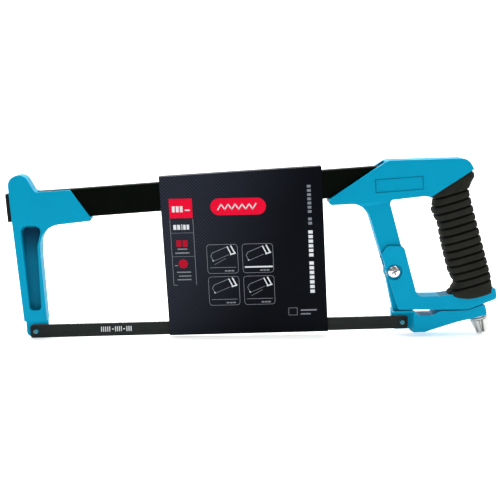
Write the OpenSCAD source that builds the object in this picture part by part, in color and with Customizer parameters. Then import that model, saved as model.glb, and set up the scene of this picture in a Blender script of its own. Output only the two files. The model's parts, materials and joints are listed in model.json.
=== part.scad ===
// Tubular-frame hacksaw with cast end pieces, a D-handle, a screw-and-lever blade tensioner
// and a printed card sleeve.

/* [Blade] */
// Distance between the two blade pins
pin_span = 300; // [296:1:304]
// Height of the blade with its teeth
blade_h = 11.5; // [11:0.5:13]
// Thickness of the blade
blade_t = 0.65; // [0.5:0.05:0.8]
// Length of blade past each pin
blade_end = 5; // [4.5:0.5:6]
// Diameter of the blade pins
pin_d = 3.5; // [3:0.1:3.8]
// Diameter of the holes in the blade
blade_hole_d = 4.2; // [4.2:0.1:4.6]

/* [Frame tube] */
// Outer height of the tube
tube_h = 23; // [21:0.5:24]
// Outer width of the tube
tube_w = 12; // [11:0.5:13]
// Wall thickness of the tube
tube_wall = 1.2; // [1:0.1:1.6]
// Climb of the tube towards the handle, in degrees
tube_lean = 3.15; // [2.5:0.05:3.5]
// Height of the tube's axis above the front blade pin
tube_z = 102.5; // [101:0.5:104]

/* [Castings] */
// Thickness of the front casting round the tube
front_t = 17; // [16:0.5:18]
// Thickness of the front casting's foot
foot_t = 13; // [12.6:0.2:14]
// Thickness of the handle's top beam
beam_t = 20; // [19:0.5:21]
// Thickness of the handle's upper post
post_t = 14; // [13:0.5:15]
// Thickness of the fork cheeks and of the lower bar
bar_t = 18; // [17:0.5:19]
// Width of the slot between the fork cheeks
slot_w = 8.6; // [8.6:0.1:9]

/* [Grip] */
// Lean of the grip, in degrees from upright
grip_lean = 15.4; // [14:0.1:16.5]
// Thickness of the grip from side to side
grip_t = 26; // [24:0.5:28]
// Distance from one grip rib to the next
rib_pitch = 6.4; // [6:0.1:7]
// Depth of the grooves between the ribs
groove_d = 0.9; // [0.5:0.1:1.2]

/* [Tensioner] */
// Diameter of the tension screw
screw_d = 6; // [5:0.5:6]
// Lean of the tension screw, in degrees from upright
screw_lean = 15; // [13:0.5:16]
// Number of flutes round the knob
knob_flutes = 6; // [5:1:8]

/* [Card sleeve] */
// Thickness of the card
card_t = 0.5; // [0.4:0.1:0.6]

/* [Hidden] */

round_fn = 48;
eps = 0.02;

// Limits of the whole saw about the front pin, which place its origin under its middle.
x_low = -18.4;
x_high = 376.4;
z_low = -11.4;

// Half thicknesses
front_y = front_t / 2;
foot_y = foot_t / 2;
beam_y = beam_t / 2;
post_y = post_t / 2;
bar_y = bar_t / 2;
slot_y = slot_w / 2;
tube_y = tube_w / 2;
grip_y = grip_t / 2;

// The blade's back bears on the tongues of the front casting and of the lever.
seat_y = blade_t / 2 + 0.15;
tongue_y = 6.2;
seat_top = 9.4;

// Tensioned, each pin stands against the far side of its hole.
pin_slack = blade_hole_d / 2 - pin_d / 2 - 0.02;
angled_shift = 4.6;
facet_y = 4.5;
facet_z = -2.3;

// Tube stations, measured along its axis from above the front pin
tube_start = -10;
tube_stop = 316;
cap_front = -18.2;

// Tensioner places
pivot_x = pin_span - 7.9;
pivot_z = 43.5;
arm_y = slot_y - 0.5;
bushing_r = 4.5;
eye_r = 7.5;
screw_x = 363.4;
screw_z = 4.6;

// Grip axis
grip_x = 360;
grip_z = 25;
grip_w = 30.6;
rib_start = 6.7;
rib_count = 13;
// Half thickness of the grip's upper end, just under the beam's
grip_top_y = beam_y - 0.2;

// One corner of an outline: p is the corner with its radius, a and b are its neighbours.
function unit2(v) = v / norm(v);
function corner(a, p, b, steps = 8) =
    p[2] <= 0 ? [[p[0], p[1]]] :
    let(
        c = [p[0], p[1]],
        ua = unit2([a[0], a[1]] - c),
        ub = unit2([b[0], b[1]] - c),
        half = acos(max(-1, min(1, ua * ub))) / 2,
        mid = c + unit2(ua + ub) * p[2] / sin(half),
        first = c + ua * p[2] / tan(half) - mid,
        last = c + ub * p[2] / tan(half) - mid,
        start = atan2(first[1], first[0]),
        raw = atan2(last[1], last[0]) - start,
        sweep = raw > 180 ? raw - 360 : raw < -180 ? raw + 360 : raw
    )
    [for (i = [0:steps]) mid + p[2] * [cos(start + sweep * i / steps), sin(start + sweep * i / steps)]];

// An outline whose corners are [x, z, radius].
function rounded(pts) =
    let(n = len(pts))
    [for (i = [0:n - 1]) each corner(pts[(i + n - 1) % n], pts[i], pts[(i + 1) % n])];

function shifted(pts, dx, dz) = [for (p = pts) [p[0] + dx, p[1] + dz, p[2]]];

// Moves the saw from its front pin to the origin under its middle.
module place() {
    translate([-(x_low + x_high) / 2, 0, -z_low]) children();
}

// A plate with its outline in the XZ plane, from y0 to y1.
module slab(outline, y0, y1) {
    translate([0, y1, 0]) rotate([90, 0, 0]) linear_extrude(y1 - y0) polygon(outline);
}

// A cylinder across the saw, from y0 to y1.
module cross_pin(x, z, r, y0, y1) {
    translate([x, y1, z]) rotate([90, 0, 0]) cylinder(h = y1 - y0, r = r, $fn = round_fn);
}

// Turns X into the tube's axis.
module along_tube() {
    translate([0, 0, tube_z]) rotate([0, -tube_lean, 0]) children();
}

// Turns Z into the screw's axis, pointing down out of the knob.
module along_screw() {
    translate([screw_x, 0, screw_z]) rotate([0, 180 - screw_lean, 0]) children();
}

// A bar of rounded rectangular section along X.
module rounded_bar(x0, x1, h, w, r) {
    translate([x0, 0, 0]) rotate([90, 0, 90]) linear_extrude(x1 - x0)
        polygon(rounded([[-w / 2, -h / 2, r], [w / 2, -h / 2, r], [w / 2, h / 2, r], [-w / 2, h / 2, r]]));
}

module frame_tube() {
    color("#15181a") place() difference() {
        along_tube() rounded_bar(tube_start, tube_stop, tube_h, tube_w, 1.8);
        along_tube() rounded_bar(tube_start - 1, tube_stop + 1, tube_h - 2 * tube_wall, tube_w - 2 * tube_wall, 0.8);
        grub_holes(concat(front_screws_x, rear_screws_x));
    }
}

front_outline = rounded([
    [-16.3, 127.6, 8], [-2.2, 127.6, 7], [4.8, 114.1, 4], [32.8, 115.4, 2.5],
    [49.8, 90.6, 1.4], [7.6, 86.6, 17], [7.4, 62, 30], [9.9, seat_top, 0.8],
    [-8.5, seat_top, 0.8], [-13.7, 86, 20]
]);
front_pocket = [
    [-7.9, 87.6, 4.5], [9.8, 87.4, 4.5], [5.3, 71, 8], [6.2, 17.8, 3.2], [-3.8, 17.8, 3.2]
];
pocket_x = 0.5;
pocket_z = 55;
pocket_depth = front_y - 1.2;

// The pocket narrows towards the web in the middle of the casting.
module pocket() {
    rotate([90, 0, 0]) translate([pocket_x, pocket_z, 0])
        rotate([0, 180, 0]) linear_extrude(pocket_depth, scale = [0.78, 0.93])
            mirror([1, 0]) polygon(rounded(shifted(front_pocket, -pocket_x, -pocket_z)));
}

// A seat at 45 degrees on a tongue's lower back corner, for the blade set at an angle.
module angled_facet(x0, x1) {
    translate([(x0 + x1) / 2, facet_y, facet_z]) rotate([45, 0, 0]) translate([0, 0, -5])
        cube([x1 - x0, 20, 10], center = true);
}

// A pin square to that seat, with a thinner root sunk in the tongue
module angled_pin_shape(x) {
    translate([x, facet_y, facet_z]) rotate([-135, 0, 0]) {
        cylinder(h = 3.2, d = pin_d, $fn = round_fn);
        translate([0, 0, -2.6]) cylinder(h = 2.6, d = pin_d - 0.6, $fn = round_fn);
    }
}

// The casting thins from the tube's socket down to its foot.
module tapered_leg() {
    translate([-50, 0, 0]) rotate([90, 0, 90]) linear_extrude(150) polygon([
        [-foot_y, 0], [foot_y, 0], [front_y, 92], [front_y, 140], [-front_y, 140], [-front_y, 92]
    ]);
}

module front_casting() {
    color("#009ec5") place() difference() {
        union() {
            intersection() {
                slab(front_outline, -front_y, front_y);
                tapered_leg();
            }
            slab(rounded([[-8.3, 10, 0], [9.6, 10, 0], [9.6, -4.6, 4], [-7.8, -4.6, 4]]), seat_y, tongue_y);
        }
        along_tube() rounded_bar(-30, 80, tube_h, tube_w, 1.8);
        translate([0, -front_y, 0]) pocket();
        translate([0, front_y, 0]) mirror([0, 1, 0]) pocket();
        angled_facet(-30, 30);
        cross_pin(-pin_slack, 0, pin_d / 2, 0, tongue_y - 0.6);
        angled_pin_shape(angled_shift - pin_slack);
        grub_holes(front_screws_x);
    }
}

module front_blade_pin() {
    color("#b9bdc0") place() cross_pin(-pin_slack, 0, pin_d / 2, -3.6, tongue_y - 0.6);
}

module front_angled_pin() {
    color("#b9bdc0") place() angled_pin_shape(angled_shift - pin_slack);
}

// Grub screws from the back of a casting; they end in the tube's wall and leave it open inside.
front_screws_x = [12, 32];
rear_screws_x = [266, 304];
grub_r = 2.5;

module grub_screws(places, back_y) {
    for (x = places) difference() {
        cross_pin(x, tube_z + x * tan(tube_lean), grub_r, tube_y - tube_wall, back_y - 0.7);
        translate([x, back_y - 2.5, tube_z + x * tan(tube_lean)]) rotate([-90, 0, 0])
            cylinder(h = 5, r = 1.45, $fn = 6);
    }
}

module grub_holes(places) {
    for (x = places) cross_pin(x, tube_z + x * tan(tube_lean), grub_r, tube_y - 2 * tube_wall, 20);
}

module front_tube_screws() {
    color("#3a3d3f") place() grub_screws(front_screws_x, front_y);
}

module rear_tube_screws() {
    color("#3a3d3f") place() grub_screws(rear_screws_x, beam_y);
}

beam_outline = rounded([
    [239.2, 99.2, 2.2], [239.2, 103.6, 2.2], [286.4, 134.1, 9], [351.4, 134.7, 8.5],
    [356.3, 126, 1], [321.4, 104, 1], [316.5, 105, 1], [262, 99.8, 5]
]);
post_outline = rounded([
    [250, 103, 0], [250, 99.7, 0.5], [269.3, 99.7, 17], [283, 53, 0], [301.2, 53, 0],
    [287.9, 102.6, 4], [300, 103.6, 0], [300, 108, 0], [250, 108, 0]
]);
bar_outline = rounded([
    [281.7, 58.4, 1], [286.2, 65.3, 5], [300, 64.3, 4], [311.2, 22.6, 6], [330, 22.4, 0],
    [375.8, 28, 1], [376.9, 19.3, 3], [353, 10.8, 8], [295.6, 12, 1.5]
]);
// Metal core that runs through the grip, from the beam to the bar
core_outline = rounded([
    [331, 106, 0], [349.4, 118, 0], [368.6, 45, 4], [367, 22, 0], [347, 21, 0]
]);

module rear_socket() {
    along_tube() {
        rounded_bar(230, tube_stop + 0.3, tube_h, tube_w, 1.8);
        translate([225, -tube_y, 0]) cube([61, tube_w, 30]);
    }
}

module fork_slot() {
    slab(rounded([[270, 5, 0], [270, 56.5, 0], [301.8, 56.5, 6], [313, 5, 0]]), -slot_y, slot_y);
}

module label_recess() {
    translate([295.7, -beam_y - eps, 114.8]) rotate([0, -3.3, 0])
        translate([-19.4, 0, -5.4]) cube([38.8, 0.5 + eps, 10.8]);
}

module handle_casting() {
    color("#009ec5") place() difference() {
        union() {
            slab(beam_outline, -beam_y, beam_y);
            slab(post_outline, -post_y, post_y);
            slab(bar_outline, -bar_y, bar_y);
            slab(core_outline, -7, 7);
        }
        rear_socket();
        fork_slot();
        label_recess();
        grub_holes(rear_screws_x);
        // Pivot bore with a counterbore for the head and a hexagon for the nut
        cross_pin(pivot_x, pivot_z, 3.05, -20, 20);
        cross_pin(pivot_x, pivot_z, 6.6, -20, -bar_y + 1.6);
        translate([pivot_x, bar_y - 3, pivot_z]) rotate([-90, 0, 0]) cylinder(h = 10, r = 5.8, $fn = 6);
        // Screw passage and the seat of the nut
        along_screw() {
            translate([0, 0, -44]) cylinder(h = 60, r = screw_d / 2 + 0.6, $fn = round_fn);
            translate([0, 0, -21]) cylinder(h = 40, r = 5.2, $fn = round_fn);
        }
    }
}

grip_outline = rounded([
    [321.4, 104, 0], [353.9, 124.6, 0], [360, 122.4, 1.6], [354.6, 113.6, 6], [354.4, 104, 12],
    [373.4, 36, 12], [375.4, 25.6, 1], [362, 21.6, 10], [337, 22.6, 1], [343.6, 31.5, 5],
    [329.6, 73, 30], [322.6, 92, 8], [326, 103.4, 5]
]);

// Rounded column that limits the grip from side to side
module grip_column() {
    translate([grip_x, 0, grip_z]) rotate([0, -grip_lean, 0]) translate([0, 0, -20])
        linear_extrude(140) polygon(rounded([
            [-18, -grip_y, 9], [17, -grip_y, 9], [17, grip_y, 9], [-18, grip_y, 9]
        ]));
}

// A shallow ring round the grip, square to its axis
module groove(level) {
    translate([grip_x, 0, grip_z]) rotate([0, -grip_lean, 0]) translate([0, 0, level])
        difference() {
            cube([60, 60, 1.1], center = true);
            cube([grip_w - 2 * groove_d, grip_t - 2 * groove_d, 2], center = true);
        }
}

module grip() {
    color("#242522") place() difference() {
        intersection() {
            slab(grip_outline, -grip_y, grip_y);
            grip_column();
        }
        slab(core_outline, -7, 7);
        slab(beam_outline, -beam_y, beam_y);
        slab(bar_outline, -bar_y, bar_y);
        for (i = [0:rib_count - 1]) groove(rib_start + rib_pitch * i);
        // The upper end thins to the beam's width.
        for (s = [-1, 1]) translate([0, s * (grip_top_y + 10), 0])
            slab([[300, 96], [330, 100], [366, 113], [366, 140], [300, 140]], -10, 10);
    }
}

lever_foot = rounded([
    [291.5, seat_top - 15, 3], [291.5, 10.7, 1], [308, 10.9, 2], [312.5, 6.6, 4], [324, 6.6, 4],
    [330, 9.9, 6], [352.5, 10, 6], [367.3, 14.7, 1], [369.4, 5.6, 2.4], [345, 0.7, 40],
    [318, -7.2, 6], [301.2, -7.6, 3]
]);
lever_arm = rounded([
    [284.8, 46, 0], [292.4, 9, 0], [308.3, 9, 0], [299.6, 43, 0]
]);

module tension_lever() {
    color("#009ec5") place() difference() {
        union() {
            slab(lever_foot, -bar_y + 0.3, bar_y - 0.3);
            slab(lever_arm, -arm_y, arm_y);
            cross_pin(pivot_x, pivot_z, eye_r, -arm_y, arm_y);
        }
        // Seat for the blade, with a slanting end wall
        translate([0, 0, -20]) linear_extrude(20 + seat_top)
            polygon([[280, -20], [308.6, -20], [308.6, -bar_y], [306.5, seat_y], [280, seat_y]]);
        // The tongue behind the seat is thinner than the foot.
        translate([280, tongue_y, -20]) cube([17, 5, 20 + seat_top]);
        angled_facet(270, 312);
        cross_pin(pivot_x, pivot_z, bushing_r + 0.05, -10, 10);
        cross_pin(pin_span + pin_slack, 0, pin_d / 2, 0, tongue_y - 0.6);
        angled_pin_shape(pin_span + pin_slack + angled_shift);
        // Long hole that lets the lever swing round the screw
        along_screw() for (dx = [-1.2, 1.2]) translate([dx, 0, -30])
            cylinder(h = 60, r = screw_d / 2 + 0.8, $fn = round_fn);
        // Flat under the foot for the thrust washer
        along_screw() translate([-12, -12, 0]) cube([24, 24, 20]);
    }
}

module rear_blade_pin() {
    color("#b9bdc0") place() cross_pin(pin_span + pin_slack, 0, pin_d / 2, -3.6, tongue_y - 0.6);
}

module rear_angled_pin() {
    color("#b9bdc0") place() angled_pin_shape(pin_span + pin_slack + angled_shift);
}

module pivot_bolt() {
    head_y = -bar_y + 1.6;
    color("#d8dadb") place() difference() {
        union() {
            cross_pin(pivot_x, pivot_z, 3, head_y - eps, bar_y - 0.6);
            cross_pin(pivot_x, pivot_z, 4.9, head_y - 1.9, head_y);
            translate([pivot_x, head_y - 1.9 + eps, pivot_z]) rotate([90, 0, 0])
                cylinder(h = 0.6, r1 = 4.9, r2 = 4.2, $fn = round_fn);
        }
        for (a = [20, 110]) translate([pivot_x, head_y - 2, pivot_z]) rotate([0, a, 0])
            cube([5.6, 2.6, 1.1], center = true);
    }
}

module pivot_nut() {
    color("#9a9ea1") place() difference() {
        translate([pivot_x, bar_y - 3 + eps, pivot_z]) rotate([-90, 0, 0]) cylinder(h = 2.6, r = 5.7, $fn = 6);
        cross_pin(pivot_x, pivot_z, 3, -20, 20);
    }
}

module pivot_bushing() {
    color("#b08d57") place() difference() {
        cross_pin(pivot_x, pivot_z, bushing_r, -slot_y, slot_y);
        cross_pin(pivot_x, pivot_z, 3.02, -20, 20);
    }
}

module pivot_washers() {
    color("#9a9ea1") place() for (s = [-1, 1]) difference() {
        cross_pin(pivot_x, pivot_z, 6.6, s > 0 ? slot_y - 0.4 : -slot_y, s > 0 ? slot_y : -slot_y + 0.4);
        cross_pin(pivot_x, pivot_z, bushing_r + 0.02, -20, 20);
    }
}

module tension_nut() {
    color("#8d9194") place() along_screw() difference() {
        translate([0, 0, -21]) cylinder(h = 8, r = 5.2, $fn = round_fn);
        translate([0, 0, -30]) cylinder(h = 40, r = screw_d / 2 + 0.05, $fn = round_fn);
    }
}

washer_t = 1.2;
washer_gap = 0.15;

module thrust_washer() {
    color("#c3c6c8") place() along_screw() difference() {
        translate([0, 0, washer_gap]) cylinder(h = washer_t, r = 6.4, $fn = round_fn);
        translate([0, 0, -1]) cylinder(h = 6, r = screw_d / 2 + 0.1, $fn = round_fn);
    }
}

knob_start = washer_gap + washer_t;
knob_h = 14;

module tension_screw() {
    color("#aeb2b5") place() along_screw() translate([0, 0, -36])
        cylinder(h = 36 + knob_start + knob_h - 3, d = screw_d, $fn = round_fn);
}

module tension_knob() {
    color("#9b9d9e") place() along_screw() translate([0, 0, knob_start]) difference() {
        union() {
            cylinder(h = 1.6, r = 7.6, $fn = round_fn);
            translate([0, 0, 1.6]) cylinder(h = knob_h - 1.6, r1 = 7, r2 = 4.6, $fn = round_fn);
        }
        translate([0, 0, -1]) cylinder(h = knob_h - 2, d = screw_d, $fn = round_fn);
        for (i = [0:knob_flutes - 1]) rotate(i * 360 / knob_flutes) translate([7.9, 0, 1.6])
            rotate([0, -8, 0]) cylinder(h = 20, r = 2.5, $fn = 24);
    }
}

blade_back = -blade_h / 2;
tooth_root = blade_h / 2;

module blade() {
    color("#26282a") place() difference() {
        slab(rounded([
            [-blade_end, blade_back, 2], [pin_span + blade_end, blade_back, 2],
            [pin_span + blade_end, tooth_root, 2], [-blade_end, tooth_root, 2]
        ]), -blade_t / 2, blade_t / 2);
        for (x = [0, pin_span]) cross_pin(x, 0, blade_hole_d / 2, -5, 5);
    }
}

module storage_cap() {
    color("#101112") place() along_tube() difference() {
        union() {
            rounded_bar(cap_front, tube_start - 0.2, tube_h - 0.5, tube_w - 0.5, 1.6);
            rounded_bar(tube_start - 1, tube_start + 9, tube_h - 2 * tube_wall - 0.5, tube_w - 2 * tube_wall - 0.5, 0.6);
        }
        rounded_bar(tube_start - 5, tube_start + 10, tube_h - 2 * tube_wall - 3.5, tube_w - 2 * tube_wall - 3.5, 0.6);
    }
}

sleeve_gap = 0.15;
sleeve_foot = blade_back - sleeve_gap - card_t;
sleeve_outline = [[103.2, 124.3], [233, 130.4], [238.6, sleeve_foot], [108.6, sleeve_foot]];
sleeve_kink = 88;
sleeve_top_y = tube_y + 0.9;
sleeve_foot_y = 2.3;

// Height of the sleeve's top edge
function sleeve_top(x) =
    let(a = sleeve_outline[0], b = sleeve_outline[1])
    a[1] + (x - a[0]) * (b[1] - a[1]) / (b[0] - a[0]);

// Section of the sleeve or, drawn in by the card's thickness, of its hollow
module sleeve_section(inset) {
    top = 150;
    foot = -20;
    flare = (sleeve_top_y - sleeve_foot_y) / (sleeve_kink - blade_back);
    foot_y = sleeve_foot_y - inset + flare * (foot - blade_back);
    rotate([90, 0, 90]) linear_extrude(300) polygon([
        [-foot_y, foot], [foot_y, foot], [sleeve_top_y - inset, sleeve_kink], [sleeve_top_y - inset, top],
        [-sleeve_top_y + inset, top], [-sleeve_top_y + inset, sleeve_kink]
    ]);
}

module card_sleeve() {
    color("#14161c") place() difference() {
        intersection() {
            slab(sleeve_outline, -20, 20);
            sleeve_section(0);
        }
        intersection() {
            slab([
                [60, sleeve_top(60) - card_t], [280, sleeve_top(280) - card_t],
                [280, blade_back - sleeve_gap], [60, blade_back - sleeve_gap]
            ], -20, 20);
            sleeve_section(card_t);
        }
    }
}

frame_tube();
front_casting();
handle_casting();
grip();
front_blade_pin();
front_angled_pin();
rear_blade_pin();
rear_angled_pin();
front_tube_screws();
rear_tube_screws();
tension_lever();
pivot_bolt();
pivot_nut();
pivot_bushing();
pivot_washers();
tension_nut();
tension_screw();
tension_knob();
thrust_washer();
blade();
storage_cap();
card_sleeve();
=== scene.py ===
import json
from math import ceil, copysign, cos, hypot, pi, radians, sin

import bmesh
import bpy
from mathutils import Matrix, Vector
from mathutils.bvhtree import BVHTree


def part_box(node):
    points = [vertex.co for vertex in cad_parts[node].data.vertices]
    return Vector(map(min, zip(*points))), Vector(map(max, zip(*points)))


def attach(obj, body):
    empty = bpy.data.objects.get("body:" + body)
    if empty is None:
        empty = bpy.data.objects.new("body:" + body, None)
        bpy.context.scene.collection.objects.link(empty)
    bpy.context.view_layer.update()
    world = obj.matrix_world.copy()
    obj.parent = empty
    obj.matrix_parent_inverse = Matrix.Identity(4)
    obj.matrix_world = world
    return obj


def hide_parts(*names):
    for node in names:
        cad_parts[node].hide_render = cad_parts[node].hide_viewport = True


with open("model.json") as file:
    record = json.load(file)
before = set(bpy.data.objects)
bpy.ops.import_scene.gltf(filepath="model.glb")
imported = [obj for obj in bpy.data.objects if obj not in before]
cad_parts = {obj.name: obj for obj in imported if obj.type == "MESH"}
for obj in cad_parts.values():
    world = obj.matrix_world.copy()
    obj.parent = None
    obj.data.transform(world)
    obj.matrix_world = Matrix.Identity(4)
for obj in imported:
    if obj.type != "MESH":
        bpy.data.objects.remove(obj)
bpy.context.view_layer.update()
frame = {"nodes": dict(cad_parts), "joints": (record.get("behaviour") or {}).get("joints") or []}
nodes = frame["nodes"]
joints = {joint["name"]: joint for joint in frame["joints"]}
mm = 0.001

# The saw is measured from the blade's front hole: X along the blade, Z up to the tube.
blade = {
    "end": 5.0,            # strip past each hole
    "height": 11.5,
    "thickness": 0.65,
    "holeRadius": 2.1,
    "cornerRadius": 2.0,
    "toothPitch": 1.06,
    "toothHeight": 0.85,
    "toothLean": 0.3,      # how far the tips stand forward
    "toothSet": 0.13,      # sideways wave of the teeth
    "waveTeeth": 8,
}
bladeLow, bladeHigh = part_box("blade")
bladeHole = Vector((bladeLow.x + blade["end"] * mm, 0, (bladeLow.z + bladeHigh.z) / 2))


def sawPoint(x, y, z):
    return bladeHole + Vector((x, y, z)) * mm


def operator(operation, flipped=False):
    # A method that adds one Math node to a Wire's tree
    def method(self, other=0.0):
        return self.math(operation, other, self) if flipped else self.math(operation, self, other)
    return method


class Wire:
    # One output socket; arithmetic on it adds Math nodes.
    def __init__(self, board, socket):
        self.board = board
        self.socket = socket

    def math(self, operation, first, second):
        return self.board.node("ShaderNodeMath", {"operation": operation}, {0: first, 1: second})

    __add__ = operator("ADD")
    __radd__ = operator("ADD", True)
    __sub__ = operator("SUBTRACT")
    __rsub__ = operator("SUBTRACT", True)
    __mul__ = operator("MULTIPLY")
    __rmul__ = operator("MULTIPLY", True)
    __truediv__ = operator("DIVIDE")
    __rtruediv__ = operator("DIVIDE", True)
    __pow__ = operator("POWER")
    __rpow__ = operator("POWER", True)
    __abs__ = operator("ABSOLUTE")
    __round__ = operator("ROUND")
    sine = operator("SINE")
    least = operator("MINIMUM")
    most = operator("MAXIMUM")


class Board:
    # A node tree that is filled by calls
    def __init__(self, tree):
        self.tree = tree
        tree.nodes.clear()

    def node(self, kind, settings=None, inputs=None, output=0):
        made = self.tree.nodes.new(kind)
        for name, value in (settings or {}).items():
            if name == "stops":
                self.setStops(made.color_ramp, value)
            else:
                setattr(made, name, value)
        for key, value in (inputs or {}).items():
            self.plug(made.inputs[key], value)
        return Wire(self, made.outputs[output]) if len(made.outputs) else made

    def plug(self, socket, value):
        if isinstance(value, Wire):
            self.tree.links.new(value.socket, socket)
        else:
            socket.default_value = value

    def setStops(self, ramp, stops):
        while len(ramp.elements) < len(stops):
            ramp.elements.new(0.5)
        for element, (place, shade) in zip(ramp.elements, stops):
            element.position = place
            element.color = shade if len(shade) == 4 else (*shade, 1)

    # Mapped object coordinates, in millimetres once scaled
    def place(self, scale=1 / mm, turn=(0, 0, 0), shift=(0, 0, 0)):
        spot = self.node("ShaderNodeTexCoord", output="Object")
        inputs = {"Vector": spot, "Location": shift, "Rotation": turn, "Scale": (scale,) * 3}
        return self.node("ShaderNodeMapping", None, inputs)

    def noise(self, vector, scale, detail=2.0, roughness=0.5, output=0):
        inputs = {"Vector": vector, "Scale": scale, "Detail": detail, "Roughness": roughness}
        return self.node("ShaderNodeTexNoise", None, inputs, output)

    def mix(self, factor, first, second, blend="MIX"):
        settings = {"data_type": "RGBA", "blend_type": blend}
        return self.node("ShaderNodeMix", settings, {0: factor, 6: first, 7: second}, 2)

    def range(self, value, low, high, toLow=0.0, toHigh=1.0, smooth=True):
        settings = {"interpolation_type": "SMOOTHSTEP" if smooth else "LINEAR"}
        inputs = {0: value, 1: low, 2: high, 3: toLow, 4: toHigh}
        return self.node("ShaderNodeMapRange", settings, inputs)

    def attribute(self, name):
        return self.node("ShaderNodeAttribute", {"attribute_name": name}, output="Fac")

    def axes(self, vector):
        split = self.node("ShaderNodeSeparateXYZ", None, {0: vector}).socket.node
        return [Wire(self, split.outputs[i]) for i in range(3)]


def tone(red, green, blue):
    # An sRGB colour of 0 to 255 as a linear one
    shares = [value / 255 for value in (red, green, blue)]
    return (*(c / 12.92 if c <= 0.04045 else ((c + 0.055) / 1.055) ** 2.4 for c in shares), 1)


def finishOf(name, build):
    material = bpy.data.materials.new(name)
    material.use_nodes = True
    board = Board(material.node_tree)
    inputs, height, depth = build(board)
    if height is not None:
        bump = {"Strength": 1.0, "Distance": depth * mm, "Height": height}
        inputs["Normal"] = board.node("ShaderNodeBump", None, bump)
    shader = board.node("ShaderNodeBsdfPrincipled", None, inputs)
    board.node("ShaderNodeOutputMaterial", None, {"Surface": shader})
    return material


def paint(colour, roughness, shine):
    return {"Base Color": colour, "Roughness": roughness, "Specular IOR Level": shine}


coat = {
    "colour": tone(0, 152, 190),
    "deep": tone(0, 144, 181),
    # painted highlight colour for the narrow rounded convex edges
    "edgeHighlight": tone(60, 198, 228),
    # painted shade colour for recesses and concave edges
    "hollowShade": tone(0, 44, 70),
    "hollowShadeHeights": (66, 98),   # painted shade in recesses grows darker between these heights
    "peel": 0.9,           # size of the orange peel
}
label = {
    "middle": (295.7, 114.8),
    "half": (19.4, 5.4),
    "lean": 3.3,
    "line": 1.1,           # width of the dark line inside its rim
}


def labelShadow(board):
    # The dark line inside the rim of the label's recess, strongest at the top and the front
    x, y, z = board.axes(board.place(shift=tuple(-bladeHole / mm)))
    across, up = x - label["middle"][0], z - label["middle"][1]
    c, s = cos(radians(label["lean"])), sin(radians(label["lean"]))
    along, rise = across * c + up * s, up * c - across * s
    outside = (abs(along) - label["half"][0]).most(abs(rise) - label["half"][1])
    line = board.range(outside, -label["line"], -0.1) * board.range(outside, 0.3, 0.1)
    lit = board.range(rise - along * 0.22, -6, 6, 0.35, 1.0)
    return line * lit * board.range(y, -8.9, -9.2)


def powderCoat(board):
    spot = board.place()
    cloud = board.noise(spot, 1 / 38, 3)
    peel = board.noise(spot, 1 / coat["peel"], 2)
    grain = board.noise(spot, 5.0, 1)
    edge = board.range(board.attribute("edge"), 0.1, 0.6)
    # painted shade: faces the part closes in on, and concave narrow edges, darken the coat, more strongly
    # higher up
    hollow = board.range(board.attribute("shade"), 0.05, 0.34).most(board.attribute("edge") * -0.75)
    rise = board.range(board.axes(spot)[2], *coat["hollowShadeHeights"], 0.5, 1.0)
    colour = board.mix(cloud, coat["deep"], coat["colour"])
    # the label's painted shadow line joins the painted recess shade
    hollow = (hollow * rise).most(labelShadow(board) * 0.7)
    colour = board.mix(hollow, colour, coat["hollowShade"])
    # painted highlight: convex rounded edges are mixed towards a lighter cyan
    colour = board.mix(edge * 0.4, colour, coat["edgeHighlight"])
    roughness = 0.4 + cloud * 0.08 + grain * 0.05 - edge * 0.08
    return paint(colour, roughness, 0.05), peel + grain * 0.25, 0.03


def tubePaint(board):
    spot = board.place()
    cloud = board.noise(spot, 1 / 25, 3)
    grain = board.noise(spot, 1.6, 2)
    colour = board.mix(cloud, tone(3, 6, 3), tone(8, 12, 8))
    return paint(colour, 0.4 + grain * 0.14, 0.02), grain, 0.02


def gripRubber(board):
    spot = board.place()
    cloud = board.noise(spot, 1 / 9, 3)
    grain = board.noise(spot, 2.2, 4, 0.7)
    # painted shade: the bottoms of the grooves are darkened
    hollow = board.range(board.attribute("hollow"), 0.1, 0.8)
    colour = board.mix(cloud, tone(29, 30, 26), tone(42, 43, 38))
    colour = board.mix(hollow, colour, tone(8, 9, 7))
    return paint(colour, 0.62 + grain * 0.22, 0.06), grain, 0.05


def bladePaint(board):
    spot = board.place()
    streak = board.node("ShaderNodeMapping", None, {"Vector": spot, "Scale": (0.05, 1, 2.4)})
    brushed = board.noise(streak, 1.0, 4, 0.65)
    cloud = board.noise(spot, 1 / 14, 2)
    colour = board.mix(cloud * 0.6 + brushed * 0.4, tone(25, 29, 28), tone(42, 46, 44))
    return paint(colour, 0.42 + brushed * 0.2, 0.1), brushed, 0.02


def toothSteel(board):
    spot = board.place()
    grain = board.noise(spot, 1.1, 3)
    colour = board.mix(grain, tone(30, 30, 30), tone(92, 92, 90))
    return {"Base Color": colour, "Roughness": 0.35 + grain * 0.2, "Metallic": 0.5}, grain, 0.03


def blackPlastic(board):
    spot = board.place()
    grain = board.noise(spot, 1.8, 3)
    colour = board.mix(grain, tone(8, 9, 10), tone(20, 21, 23))
    return paint(colour, 0.45 + grain * 0.2, 0.15), grain, 0.04


card = {
    "light": tone(23, 26, 35),
    "dark": tone(2, 4, 10),
    "threads": 2.7,        # distance from one diagonal thread to the next
}


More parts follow.
